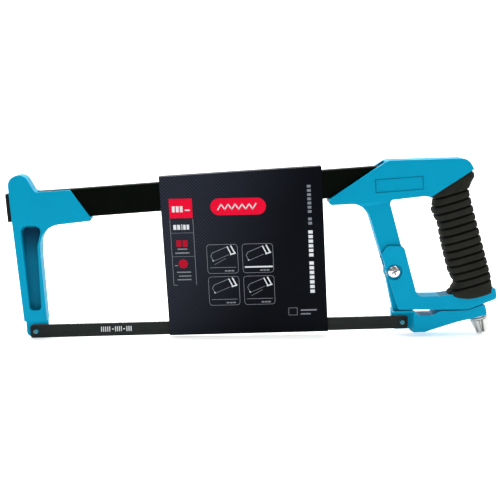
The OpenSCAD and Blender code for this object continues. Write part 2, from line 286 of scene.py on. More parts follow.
def printedCard(board):
    spot = board.place(shift=tuple(-bladeHole / mm))
    across, _, up = board.axes(spot)
    down = board.range(across * 0.9 - up * 0.35, 60, 168)
    first = ((across + up) * (2 * pi / card["threads"])).sine()
    second = ((across - up) * (2 * pi / card["threads"])).sine()
    weave = first * 0.6 + second * 0.4
    cloud = board.noise(spot, 1 / 18, 2)
    colour = board.mix(down, card["light"], card["dark"])
    strength = 0.5 - down * 0.46
    colour = board.mix((weave * 0.5 + 0.5) * strength, colour, tone(62, 67, 80))
    roughness = 0.4 + weave * 0.06 + cloud * 0.1
    return paint(colour, roughness, 0.04), weave, 0.012


def paperCore(board):
    fibre = board.noise(board.place(), 1.5, 4)
    colour = board.mix(fibre, tone(120, 121, 122), tone(172, 172, 170))
    return {"Base Color": colour, "Roughness": 0.8 + fibre * 0.1}, fibre, 0.04


def inkFinish(colour):
    def build(board):
        speckle = board.noise(board.place(), 2.5, 3)
        dimmed = tuple(c * 0.72 for c in colour[:3]) + (1,)
        worn = board.mix(board.range(speckle, 0.35, 0.75) * 0.5, colour, dimmed)
        return paint(worn, 0.42 + speckle * 0.12, 0.06), speckle, 0.01
    return build


def metalFinish(light, dark, roughness, grainSize, depth=0.03):
    def build(board):
        spot = board.place()
        grain = board.noise(spot, 1 / grainSize, 3, 0.6)
        # painted shade: faces that the part closes in on are darkened towards grey
        hollow = board.range(board.attribute("shade"), 0.15, 0.6)
        colour = board.mix(grain, dark, light)
        colour = board.mix(hollow * 0.75, colour, tone(46, 46, 46))
        rough = roughness + grain * 0.12
        return {"Base Color": colour, "Roughness": rough, "Metallic": 1.0}, grain, depth
    return build


def paintedPin(board):
    # Casting paint, with a painted highlight on the rounded rim of the pin's end
    spot = board.place()
    grain = board.noise(spot, 1.4, 3)
    edge = board.range(board.attribute("edge"), 0.2, 0.9)
    colour = board.mix(grain * 0.5, tone(14, 104, 124), tone(40, 150, 168))
    colour = board.mix(edge * 0.5, colour, tone(130, 200, 208))
    return paint(colour, 0.3 + grain * 0.15, 0.4), grain, 0.03


finishes = {
    "coat": finishOf("cyanPowderCoat", powderCoat),
    "tube": finishOf("blackTubePaint", tubePaint),
    "rubber": finishOf("gripRubber", gripRubber),
    "blade": finishOf("bladePaint", bladePaint),
    "teeth": finishOf("toothSteel", toothSteel),
    "plastic": finishOf("blackPlastic", blackPlastic),
    "card": finishOf("printedCard", printedCard),
    "paper": finishOf("paperCore", paperCore),
    "whiteInk": finishOf("whiteInk", inkFinish(tone(222, 226, 230))),
    "greyInk": finishOf("greyInk", inkFinish(tone(128, 132, 140))),
    "redInk": finishOf("redInk", inkFinish(tone(232, 6, 50))),
    "darkRedInk": finishOf("darkRedInk", inkFinish(tone(176, 8, 40))),
    "bright": finishOf(
        "brightNickel", metalFinish(tone(240, 240, 240), tone(222, 223, 225), 0.1, 2.0, depth=0.01)
    ),
    "zinc": finishOf("castZinc", metalFinish(tone(205, 205, 202), tone(168, 168, 166), 0.24, 0.6)),
    "steel": finishOf("turnedSteel", metalFinish(tone(200, 202, 204), tone(160, 162, 165), 0.26, 1.0)),
    "blackSteel": finishOf("blackSteel", metalFinish(tone(70, 72, 76), tone(44, 46, 50), 0.34, 0.8)),
    "bronze": finishOf("sinteredBronze", metalFinish(tone(190, 152, 92), tone(150, 112, 60), 0.4, 0.5)),
    "pin": finishOf("paintedPin", paintedPin),
}
print("finishes made:", len(finishes))


def addPiece(name, mesh, *looks):
    piece = bpy.data.objects.new(name, mesh)
    bpy.context.scene.collection.objects.link(piece)
    mesh.materials.clear()
    for look in looks:
        mesh.materials.append(finishes[look])
    return piece


def meshOf(name, points, faces):
    mesh = bpy.data.meshes.new(name)
    mesh.from_pydata([tuple(p) for p in points], [], faces)
    shape = bmesh.new()
    shape.from_mesh(mesh)
    bmesh.ops.recalc_face_normals(shape, faces=shape.faces)
    shape.to_mesh(mesh)
    shape.free()
    return mesh


def freeze(piece):
    # The evaluated mesh takes the place of the modifiers.
    graph = bpy.context.evaluated_depsgraph_get()
    done = piece.evaluated_get(graph)
    solid = bpy.data.meshes.new_from_object(done, preserve_all_data_layers=True, depsgraph=graph)
    piece.modifiers.clear()
    piece.data = solid
    return piece


def store(mesh, name, domain, values):
    layer = mesh.attributes.get(name) or mesh.attributes.new(name, "FLOAT", domain)
    layer.data.foreach_set("value", values)


def markEdges(mesh):
    # Stores for the finishes how each narrow face turns, convex (+) or concave (-), and how deep it lies; the
    # finishes paint highlights on convex edges and shade on concave edges and in deep places.
    shape = bmesh.new()
    shape.from_mesh(mesh)
    bend, shade = [], []
    tree = BVHTree.FromBMesh(shape)
    for face in shape.faces:
        size = sum(e.calc_length() for e in face.edges)
        narrow = 2 * face.calc_area() / size < 0.45 * mm if size else False
        shared = [e for e in face.edges if len(e.link_faces) == 2]
        angles = sorted((e.calc_face_angle_signed(0.0) for e in shared), key=abs)
        turned = sum(angles[-2:]) / radians(50)
        if angles and min(angles) < radians(-60):
            turned = -1.0
        bend.append(max(-1.0, min(1.0, turned)) if narrow and angles else 0.0)
        shade.append(closeness(tree, face))
    shape.free()
    store(mesh, "edge", "FACE", bend)
    store(mesh, "shade", "FACE", shade)


def closeness(tree, face, reach=16.0, rays=40):
    # The share of the directions over a face that soon meet the part again
    normal = face.normal
    if normal.length < 0.5:
        return 0.0
    side = normal.orthogonal().normalized()
    other = normal.cross(side)
    centre = face.calc_center_median()
    small = face.calc_area() < 30 * mm * mm
    spots = [centre] if small else [centre.lerp(v.co, 0.6) for v in face.verts[:8]]
    met = 0.0
    for spot in spots:
        for k in range(rays):
            height = ((k + 0.5) / rays) ** 0.5
            turn = k * 2.39996
            flat = (1 - height * height) ** 0.5
            way = normal * height + (side * cos(turn) + other * sin(turn)) * flat
            distance = tree.ray_cast(spot + normal * 0.02 * mm, way, reach * mm)[3]
            if distance is not None:
                met += 1 - distance / (reach * mm)
    return met / rays / len(spots)


def smooth(mesh):
    mesh.polygons.foreach_set("use_smooth", [True] * len(mesh.polygons))
    mesh.update()


def softCopy(node, name, look, body, edge, gentle=None, slim=None):
    # A copy of a CAD part with rounded edges takes its place. gentle gives some edges a smaller share,
    # and slim narrows the part from side to side in some places. The clamp holds the rounding to what
    # the tightest spot of the part leaves room for.
    mesh = nodes[node].data.copy()
    mesh.name = name
    shape = bmesh.new()
    shape.from_mesh(mesh)
    bmesh.ops.remove_doubles(shape, verts=shape.verts, dist=0.003 * mm)
    bmesh.ops.dissolve_degenerate(shape, edges=shape.edges, dist=0.1 * mm)
    bmesh.ops.dissolve_limit(shape, angle_limit=radians(0.6), verts=shape.verts, edges=shape.edges)
    for vert in shape.verts:
        vert.co.y *= slim(vert.co) if slim else 1.0
    weights = []
    for e in shape.edges:
        turned = len(e.link_faces) == 2 and e.calc_face_angle_signed(0.0) > radians(32)
        middle = (e.verts[0].co + e.verts[1].co) / 2
        share = gentle(middle) if gentle else 1.0
        weights.append(share * roomFor(e, edge) if turned else 0.0)
    shape.to_mesh(mesh)
    shape.free()
    store(mesh, "bevel_weight_edge", "EDGE", weights)
    smooth(mesh)
    piece = addPiece(name, mesh, look)
    bevel = piece.modifiers.new("roundedEdges", "BEVEL")
    bevel.limit_method = "WEIGHT"
    bevel.width = edge * mm
    bevel.segments = 3
    bevel.use_clamp_overlap = True
    normals = piece.modifiers.new("flatFaces", "WEIGHTED_NORMAL")
    normals.weight = 100
    normals.keep_sharp = True
    freeze(piece)
    markEdges(piece.data)
    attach(piece, body)
    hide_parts(node)
    return piece


def roomFor(edge, width):
    # The share of a rounding's width that short neighbours and tight corners leave for it
    room = 3.0 * width
    for vert in edge.verts:
        along = (edge.other_vert(vert).co - vert.co).normalized()
        for other in vert.link_edges:
            if other == edge:
                continue
            length = other.calc_length() / mm
            turn = (vert.co - other.other_vert(vert).co).angle(along, 0.0)
            if turn > radians(28):
                room = min(room, length * 0.45)
            elif turn > radians(3):
                room = min(room, 0.45 * (length + edge.calc_length() / mm) / turn)
    return min(1.0, room / width)


def frameOf(axis):
    # Two directions square to an axis and to each other
    axis = axis.normalized()
    first = Vector((0, 1, 0)) if abs(axis.y) < 0.9 else Vector((1, 0, 0))
    first = (first - axis * first.dot(axis)).normalized()
    return first, axis.cross(first), axis


def lathe(name, profile, base, axis, steps=64):
    # profile is [(radius, height along the axis)] in millimetres; both ends are closed.
    first, second, along = frameOf(Vector(axis))
    points, faces = [], []
    for radius, height in profile:
        for i in range(steps):
            turn = 2 * pi * i / steps
            points.append(base + (along * height + (first * cos(turn) + second * sin(turn)) * radius) * mm)
    for row in range(len(profile) - 1):
        for i in range(steps):
            j = (i + 1) % steps
            low, high = row * steps, (row + 1) * steps
            faces.append([low + i, low + j, high + j, high + i])
    for row in (0, len(profile) - 1):
        centre = len(points)
        points.append(base + along * profile[row][1] * mm)
        faces += [[row * steps + i, row * steps + (i + 1) % steps, centre] for i in range(steps)]
    return meshOf(name, points, faces)


def glide(points, where):
    # A smooth curve through a few (place, value) points
    if where <= points[0][0]:
        return points[0][1]
    if where >= points[-1][0]:
        return points[-1][1]
    k = next(i for i in range(len(points) - 1) if where <= points[i + 1][0])

    def slope(i):
        low, high = max(i - 1, 0), min(i + 1, len(points) - 1)
        return (points[high][1] - points[low][1]) / (points[high][0] - points[low][0])

    (a, fa), (b, fb) = points[k], points[k + 1]
    s = (where - a) / (b - a)
    return (
        fa * (1 + 2 * s) * (1 - s) ** 2 + slope(k) * (b - a) * s * (1 - s) ** 2
        + fb * s * s * (3 - 2 * s) - slope(k + 1) * (b - a) * s * s * (1 - s)
    )


def easeStep(value):
    value = max(0.0, min(1.0, value))
    return value * value * (3 - 2 * value)


def openTree(name, inputs):
    tree = bpy.data.node_groups.new(name, "GeometryNodeTree")
    tree.interface.new_socket(name="Geometry", in_out="INPUT", socket_type="NodeSocketGeometry")
    tree.interface.new_socket(name="Geometry", in_out="OUTPUT", socket_type="NodeSocketGeometry")
    for label, kind in inputs.items():
        tree.interface.new_socket(name=label, in_out="INPUT", socket_type="NodeSocket" + kind)
    board = Board(tree)
    entry = board.node("NodeGroupInput").socket.node
    return tree, board, {label: Wire(board, entry.outputs[label]) for label in ("Geometry", *inputs)}


def closeTree(board, geometry, look):
    real = board.node("GeometryNodeRealizeInstances", None, {0: geometry})
    dressed = board.node("GeometryNodeSetMaterial", None, {"Geometry": real, "Material": look})
    board.node("NodeGroupOutput", None, {0: dressed})


def runTree(piece, tree, values):
    modifier = piece.modifiers.new(tree.name, "NODES")
    modifier.node_group = tree
    for item in tree.interface.items_tree:
        if item.item_type == "SOCKET" and item.in_out == "INPUT" and item.name in values:
            modifier[item.identifier] = values[item.name]
    return freeze(piece)


def grooveCutter():
    # Sinks evenly spaced grooves where the point attribute "along" passes start, start + pitch and so on.
    sizes = dict.fromkeys(("Start", "Pitch", "Count", "Width", "Depth", "Bulge"), "Float")
    tree, board, given = openTree("grooveCutter", {**sizes, "Look": "Material"})
    along = board.node("GeometryNodeInputNamedAttribute", {"data_type": "FLOAT"}, {"Name": "along"})
    strength = board.node("GeometryNodeInputNamedAttribute", {"data_type": "FLOAT"}, {"Name": "cut"})
    step = (along - given["Start"]) / given["Pitch"]
    cell = round(step).most(0).least(given["Count"] - 1)
    away = abs(step - cell)
    half = given["Width"] / given["Pitch"] * 0.5
    pulse = board.range(away, half * 0.35, half, 1.0, 0.0)
    crown = 1 - (1 - (away * 2).least(1)) ** 3
    lift = (crown * given["Bulge"] - pulse * given["Depth"]) * strength
    normal = board.node("GeometryNodeInputNormal")
    offset = board.node("ShaderNodeVectorMath", {"operation": "SCALE"}, {0: normal, 3: lift})
    # the groove bottoms are stored as the hollow attribute, which the rubber finish uses for painted shade
    inputs = {"Geometry": given["Geometry"], "Name": "hollow", "Value": pulse * strength}
    kind = {"data_type": "FLOAT", "domain": "POINT"}
    kept = board.node("GeometryNodeStoreNamedAttribute", kind, inputs)
    moved = board.node("GeometryNodeSetPosition", None, {"Geometry": kept, "Offset": offset})
    closeTree(board, moved, given["Look"])
    return tree


def toothRow():
    # A row of leaning teeth in a gentle sideways wave
    sizes = dict.fromkeys(("Pitch", "Height", "Thickness", "Lean", "Set", "Wave"), "Float")
    kinds = {"Count": "Int", **sizes, "From": "Vector", "Look": "Material"}
    tree, board, given = openTree("toothRow", kinds)
    sides = {0: given["Pitch"] * 1.02, 1: given["Thickness"], 2: given["Height"]}
    size = board.node("ShaderNodeCombineXYZ", None, sides)
    block = board.node("GeometryNodeMeshCube", None, {"Size": size})
    spot = board.node("GeometryNodeInputPosition")
    x, _, z = board.axes(spot)
    upper = board.node("FunctionNodeCompare", {"operation": "GREATER_THAN"}, {0: z, 1: 0.0})
    pinch = board.node("ShaderNodeCombineXYZ", None, {0: x * -0.9 - given["Lean"], 1: 0.0, 2: 0.0})
    inputs = {"Geometry": block, "Selection": upper, "Offset": pinch}
    tooth = board.node("GeometryNodeSetPosition", None, inputs)
    step = board.node("ShaderNodeCombineXYZ", None, {0: given["Pitch"]})
    inputs = {"Count": given["Count"], "Start Location": given["From"], "Offset": step}
    row = board.node("GeometryNodeMeshLine", None, inputs)
    index = board.node("GeometryNodeInputIndex")
    sway = (index * (2 * pi) / given["Wave"]).sine() * given["Set"]
    bent = board.node("ShaderNodeCombineXYZ", None, {1: sway})
    row = board.node("GeometryNodeSetPosition", None, {"Geometry": row, "Offset": bent})
    teeth = board.node("GeometryNodeInstanceOnPoints", None, {"Points": row, "Instance": tooth})
    closeTree(board, teeth, given["Look"])
    return tree


grooves = grooveCutter()
teethTree = toothRow()


castings = {
    "frontEdge": 0.7,
    "handleEdge": 0.7,
    "leverEdge": 0.7,
    "labelEdge": 0.2,      # the label's recess is shallow
}


def gentleLabel(spot):
    # The shallow label recess on the near side of the beam keeps crisp edges.
    local = (spot - bladeHole) / mm
    x, z = label["middle"]
    inside = abs(local.x - x) < 22 and abs(local.z - z) < 8 and local.y < -8.5
    return castings["labelEdge"] if inside else 1.0


def slimCore(spot):
    # The metal core stays well under the bottoms of the grip's grooves.
    local = (spot - bladeHole) / mm
    inside = 25 < local.z < 117 and abs(abs(local.y) - 7) < 0.01 and local.x > 320
    return 0.66 if inside else 1.0


softCopy("front_casting", "frontCasting", "coat", "root", castings["frontEdge"])
softCopy(
    "handle_casting", "handleCasting", "coat", "root", castings["handleEdge"],
    gentle=gentleLabel, slim=slimCore,
)
softCopy("tension_lever", "tensionLever", "coat", "lever", castings["leverEdge"])
print("castings made")

softCopy("frame_tube", "frameTube", "tube", "root", 0.2)
softCopy("storage_cap", "storageCap", "plastic", "cap", 0.5)
for node, look, slot, body, edge in (
    ("front_blade_pin", "pin", "plain_steel", "root", 0.6),
    ("rear_blade_pin", "pin", "plain_steel", "lever", 0.6),
    ("front_angled_pin", "pin", "plain_steel", "root", 0.4),
    ("rear_angled_pin", "pin", "plain_steel", "lever", 0.4),
    ("front_tube_screws", "blackSteel", "black_steel", "root", 0.2),
    ("rear_tube_screws", "blackSteel", "black_steel", "root", 0.2),
    ("pivot_nut", "steel", "plain_steel", "root", 0.3),
    ("pivot_washers", "steel", "plain_steel", "root", 0.08),
    ("pivot_bushing", "bronze", "bronze", "root", 0.2),
    ("tension_nut", "steel", "plain_steel", "root", 0.3),
    ("tension_screw", "steel", "plain_steel", "knob", 0.3),
    ("thrust_washer", "bright", "plain_steel", "washer", 0.2),
):
    title = "".join(word.capitalize() if k else word for k, word in enumerate(node.split("_")))
    softCopy(node, title, look, body, edge)
print("fasteners made")


grip = {
    "foot": (360, 25),     # where its axis starts
    "lean": 15.4,
    "back": [
        (-4, 14.2), (3, 14.9), (8, 15.7), (44, 15.8), (76, 15.8), (83, 16.4), (88, 19.6), (92, 23.4),
        (95, 23.6), (99, 21.5),
    ],
    "front": [
        (-4, -17), (3, -22.3), (6, -21), (10, -15.2), (14, -15.2), (22, -16.6), (50, -16.2), (62, -15.1),
        (71, -16.6), (76, -16.7), (82, -13.9), (86.5, -15.8), (92, -18),
    ],
    "half": [(-4, 12.4), (10, 12.6), (72, 12.6), (82, 12.0), (91, 9.9)],
    "topSlope": 0.305,     # the beam's edge that it ends against
    "topRow": 91.3,
    "bottomRow": -3.9,
    "ribStart": 6.7,
    "ribPitch": 6.4,
    "ribCount": 13,
    "grooveWidth": 2.5,
    "grooveDepth": 1.0,
    "bulge": 0.45,
}


def makeGrip():
    lean = radians(grip["lean"])
    up, back = Vector((-sin(lean), 0, cos(lean))), Vector((cos(lean), 0, sin(lean)))
    foot = sawPoint(grip["foot"][0], 0, grip["foot"][1])
    around, rowStep = 112, 0.3
    low, high = grip["bottomRow"], grip["topRow"]
    rows = ceil((high - low) / rowStep)
    points, faces, alongs, cuts = [], [], [], []
    for row in range(rows + 1):
        level = low + (high - low) * row / rows
        toTop = easeStep((level - 79) / (high - 79)) if level > 79 else 0.0
        toFoot = 1 - easeStep((level - low) / 12)
        for k in range(around):
            turn = 2 * pi * k / around
            c, s = cos(turn), sin(turn)
            power = 2 / (3.4 if c > 0 else 2.9)
            t = level
            for _ in range(8):
                right, left = glide(grip["back"], t), glide(grip["front"], t)
                wide = (right - left - 2 * grip["bulge"]) / 2
                u = (right + left) / 2 + wide * copysign(abs(c) ** power, c)
                t = level + grip["topSlope"] * u * toTop + 0.0135 * max(0, 1 - u) ** 2 * toFoot
            y = (glide(grip["half"], t) - grip["bulge"]) * copysign(abs(s) ** power, s)
            points.append(foot + (up * t + back * u + Vector((0, y, 0))) * mm)
            alongs.append(t * mm)
            cuts.append(min(1.0, (high - level) / 2.5, (level - low) / 2.5))
    for row in range(rows):
        for k in range(around):
            j = (k + 1) % around
            here, above = row * around, (row + 1) * around
            faces.append([here + k, here + j, above + j, above + k])
    for row in (0, rows):
        ring = range(row * around, (row + 1) * around)
        points.append(sum((points[i] for i in ring), Vector()) / around)
        alongs.append(0.0)
        cuts.append(0.0)
        faces += [[i, ring[(i - ring[0] + 1) % around], len(points) - 1] for i in ring]
    mesh = meshOf("grip", points, faces)
    store(mesh, "along", "POINT", alongs)
    store(mesh, "cut", "POINT", cuts)
    smooth(mesh)
    piece = addPiece("grip", mesh, "rubber")
    runTree(piece, grooves, {
        "Start": grip["ribStart"] * mm, "Pitch": grip["ribPitch"] * mm, "Count": float(grip["ribCount"]),
        "Width": grip["grooveWidth"] * mm, "Depth": grip["grooveDepth"] * mm, "Bulge": grip["bulge"] * mm,
        "Look": finishes["rubber"],
    })
    smooth(piece.data)
    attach(piece, "root")
    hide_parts("grip")


makeGrip()
print("grip made")


knob = {
    "flangeRadius": 7.6,
    "flangeHeight": 1.6,
    "start": 1.4,          # just under the washer
    "height": 14,
    "topRadius": 7.5,
    "endRadius": 4.5,
    "flutes": 6,
    "fluteShare": 0.62,    # part of each flute's step that is hollow
    "fluteDepth": 2.1,
}


def makeKnob():
    joint = joints["knob_turn"]
    seat, axis = Vector(joint["pos_m"]), Vector(joint["axis"])
    start, top, height = knob["start"], knob["flangeHeight"], knob["height"]
    profile = [(3.1, start), (knob["flangeRadius"] - 0.4, start), (knob["flangeRadius"], start + 0.4)]
    profile += [(knob["flangeRadius"], start + top - 0.3), (knob["flangeRadius"] - 0.3, start + top)]
    rows = 30
    for row in range(rows + 1):
        share = row / rows
        radius = knob["topRadius"] + (knob["endRadius"] - knob["topRadius"]) * share
        lead = min(share * (height - top), 0.3) / 0.3
        tail = min((1 - share) * (height - top), 1.2) / 1.2
        radius -= 0.8 * (1 - lead) ** 2 + 1.2 * (1 - (1 - (1 - tail) ** 2) ** 0.5)
        profile.append((radius, start + top + (height - top) * share))
    profile += [(radius * 0.6, start + height), (radius * 0.3, start + height)]
    steps = 144
    mesh = lathe("tensionKnob", profile, seat, axis, steps)
    first, second, along = frameOf(axis)
    alongs, cuts = [], []
    for vert in mesh.vertices:
        local = (vert.co - seat) / mm
        height, x, y = local.dot(along), local.dot(first), local.dot(second)
        turn = Vector((x, y)).angle_signed(Vector((1, 0)), 0.0) if hypot(x, y) > 0.01 else 0.0
        alongs.append(turn % (2 * pi))
        deep = easeStep((height - start - top) / 1.2)
        cuts.append(deep * easeStep((hypot(x, y) - 1.6) / 2.4))
    store(mesh, "along", "POINT", alongs)
    store(mesh, "cut", "POINT", cuts)
    smooth(mesh)
    piece = addPiece("tensionKnob", mesh, "zinc")
    pitch = 2 * pi / knob["flutes"]
    runTree(piece, grooves, {
        "Start": 0.0, "Pitch": pitch, "Count": float(knob["flutes"] + 1), "Width": pitch * knob["fluteShare"],
        "Depth": knob["fluteDepth"] * mm, "Bulge": 0.0, "Look": finishes["zinc"],
    })
    smooth(piece.data)
    markEdges(piece.data)
    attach(piece, "knob")
    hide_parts("tension_knob")


boltHead = {
    "radius": 4.9,
    "rim": 0.9,
    "rise": 1.7,
    "recess": 3.1,         # half the cross's length
    "recessWidth": 1.15,
    "recessDepth": 2.0,
    "turn": 25,
}


def makeBolt():
    pivot = Vector(joints["lever_pivot"]["pos_m"])
    low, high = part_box("pivot_bolt")
    front = Vector((pivot.x, low.y, pivot.z))
    back = (high.y - low.y) / mm
    radius, rim, rise = boltHead["radius"], boltHead["rim"], boltHead["rise"]
    under = rise + rim + 0.2
    profile = [(radius * sin(radians(a)), rise * (1 - cos(radians(a)))) for a in range(4, 91, 6)]
    profile += [(radius, rise + rim), (radius - 0.2, under), (3.0, under), (3.0, back)]
    mesh = lathe("pivotBolt", profile, front, (0, 1, 0), 72)
    piece = addPiece("pivotBolt", mesh, "bright")
    arm, half = boltHead["recess"], boltHead["recessWidth"] / 2
    cross = []
    for a, b in ((1, 1), (-1, 1), (-1, -1), (1, -1)):
        corner = [(a * arm, b * half), (a * half, b * half), (a * half, b * arm)]
        cross += corner if a * b > 0 else corner[::-1]
    turn = radians(boltHead["turn"])
    points = []
    for scale, depth in ((1.1, -1.0), (0.45, boltHead["recessDepth"])):
        for x, z in cross:
            x, z = x * cos(turn) - z * sin(turn), x * sin(turn) + z * cos(turn)
            points.append(front + Vector((x * scale, depth, z * scale)) * mm)
    faces = [list(range(12)), list(range(12, 24))]
    faces += [[i, (i + 1) % 12, 12 + (i + 1) % 12, 12 + i] for i in range(12)]
    cutter = addPiece("recessCutter", meshOf("recessCutter", points, faces), "bright")
    cut = piece.modifiers.new("recess", "BOOLEAN")
    cut.operation = "DIFFERENCE"
    cut.object = cutter
    cut.solver = "EXACT"
    smooth(piece.data)
    freeze(piece)
    bpy.data.objects.remove(cutter)
    markEdges(piece.data)
    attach(piece, "root")
    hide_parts("pivot_bolt")


makeKnob()
makeBolt()
print("tensioner made")


def arcPoints(x, z, radius, turns):
    return [(x + radius * cos(radians(a)), z + radius * sin(radians(a))) for a in turns]


def makeBlade():
    half, end = blade["height"] / 2, blade["end"]
    root = half - blade["toothHeight"]
    span = (bladeHigh.x - bladeLow.x) / mm - 2 * end
    outline, r = [], blade["cornerRadius"]
    low, high = -end + r, span + end - r
    for x, z, turn in ((low, r - half, 180), (high, r - half, 270), (high, root - r, 0), (low, root - r, 90)):
        outline += arcPoints(x, z, r, range(turn, turn + 91, 15))
    rings = [outline]
    for x in (0, span):
        rings.append(arcPoints(x, 0, blade["holeRadius"], range(0, 360, 12)))
    drawing = bpy.data.curves.new("bladeStrip", "CURVE")
    drawing.dimensions = "2D"
    drawing.fill_mode = "BOTH"
    drawing.extrude = blade["thickness"] / 2 - 0.06
    drawing.bevel_depth = 0.06
    drawing.bevel_resolution = 1
    drawing.offset = -0.06
    for ring in rings:
        line = drawing.splines.new("POLY")
        line.points.add(len(ring) - 1)
        line.points.foreach_set("co", [c for x, z in ring for c in (x, z, 0, 1)])
        line.use_cyclic_u = True
    sketch = bpy.data.objects.new("bladeStrip", drawing)
    bpy.context.scene.collection.objects.link(sketch)
    graph = bpy.context.evaluated_depsgraph_get()
    mesh = bpy.data.meshes.new_from_object(sketch.evaluated_get(graph))
    bpy.data.objects.remove(sketch)
    # The drawing's Y becomes the saw's Z.
    upright = Matrix.Rotation(radians(90), 4, "X")
    mesh.transform(Matrix.Translation(bladeHole) @ Matrix.Scale(mm, 4) @ upright)
    shape = bmesh.new()
    shape.from_mesh(mesh)
    bmesh.ops.remove_doubles(shape, verts=shape.verts, dist=0.002 * mm)
    bmesh.ops.recalc_face_normals(shape, faces=shape.faces)
    shape.to_mesh(mesh)
    shape.free()
    strip = addPiece("bladeStrip", mesh, "blade")
    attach(strip, "root")
    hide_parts("blade")

    count = int((span + 2 * end - 2 * r) / blade["toothPitch"])
    seed = meshOf("bladeTeeth", [(0, 0, 0), (mm, 0, 0), (0, 0, mm)], [[0, 1, 2]])
    teeth = addPiece("bladeTeeth", seed, "teeth")
    rise = root + blade["toothHeight"] / 2 - 0.02
    first = sawPoint(-end + r + blade["toothPitch"] / 2, 0, rise)
    runTree(teeth, teethTree, {
        "Count": count, "Pitch": blade["toothPitch"] * mm, "Height": blade["toothHeight"] * mm,
        "Thickness": (blade["thickness"] - 0.06) * mm, "Lean": blade["toothLean"] * mm,
        "Set": blade["toothSet"] * mm, "Wave": float(blade["waveTeeth"]), "From": tuple(first),
        "Look": finishes["teeth"],
    })
    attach(teeth, "root")


makeBlade()


sleeve = {
    "left": ((103.2, 124.3), (108.6, -6.4)),     # upper and lower corner of each open side
    "right": ((233.0, 130.4), (238.6, -6.4)),
    "kink": 88,            # below it the sides run together
    "topHalf": 6.9,
    "footHalf": 2.3,
    "card": 0.5,
    "crease": 0.8,
    "bow": 0.25,           # soft swell of the two faces
    "slant": 0.034,        # how far the print leans back
    "ink": 0.05,
}


def sleeveEdges(z):
    sides = (sleeve["left"], sleeve["right"])
    return [low[0] + (top[0] - low[0]) * (z - low[1]) / (top[1] - low[1]) for top, low in sides]


def sleeveTop(x):
    (x0, z0), (x1, z1) = sleeve["left"][0], sleeve["right"][0]
    return z0 + (x - x0) * (z1 - z0) / (x1 - x0)


def cardHalf(x, z):
    # Half the sleeve's thickness at a place on its face
    foot, kink = sleeve["left"][1][1], sleeve["kink"]
    taper = min(1.0, (z - foot) / (kink - foot))
    flat = sleeve["footHalf"] + (sleeve["topHalf"] - sleeve["footHalf"]) * taper
    flat -= 0.12 * max(0.0, 1 - abs(z - kink) / 4.4) ** 2
    left, right = sleeveEdges(z)
    if z >= kink:
        return flat
    across, up = sin(pi * (x - left) / (right - left)), sin(pi * (z - foot) / (kink - foot))
    return flat + sleeve["bow"] * max(0.0, across) * max(0.0, up)


def makeSleeve():
    columns, rows = 44, 60
    top, foot = (corner[1] for corner in sleeve["left"])
    crease = sleeve["crease"]
    points, faces = [], []
    for column in range(columns + 1):
        share = column / columns
        section = []
        for row in range(rows + 1):
            rise = row / rows
            z = foot + 0.3 + (top - foot - 0.3 - crease) * rise
            left, right = sleeveEdges(z)
            x = left + (right - left) * share
            z += (sleeveTop(x) - top) * rise
            section.append((x, -cardHalf(x, z), z))
        x, y, z = section[-1]
        turns = [k * pi / 8 for k in range(1, 5)]
        fold = [(x, y + crease * (1 - cos(a)), z + crease * sin(a)) for a in turns]
        near = section + fold
        far = [(a, -b, c) for a, b, c in reversed(near)]
        points += [sawPoint(*p) for p in near + far]
    ring = len(points) // (columns + 1)
    for column in range(columns):
        for k in range(ring):
            j = (k + 1) % ring
            here, beside = column * ring, (column + 1) * ring
            faces.append([here + k, here + j, beside + j, beside + k])
    mesh = meshOf("cardSleeve", points, faces)
    # An open tube has no inside of its own, so its faces are turned away from its middle.
    middle = sum(points, Vector()) / len(points)
    face = max(mesh.polygons, key=lambda p: -p.center.y)
    if face.normal.dot(face.center - middle) < 0:
        mesh.flip_normals()
    piece = addPiece("cardSleeve", mesh, "card", "paper")
    wall = piece.modifiers.new("card", "SOLIDIFY")
    wall.thickness = sleeve["card"] * mm
    wall.offset = -1
    wall.material_offset_rim = 1
    smooth(mesh)
    normals = piece.modifiers.new("crispFolds", "WEIGHTED_NORMAL")
    normals.weight = 100
    freeze(piece)
    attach(piece, "sleeve")
    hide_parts("card_sleeve")


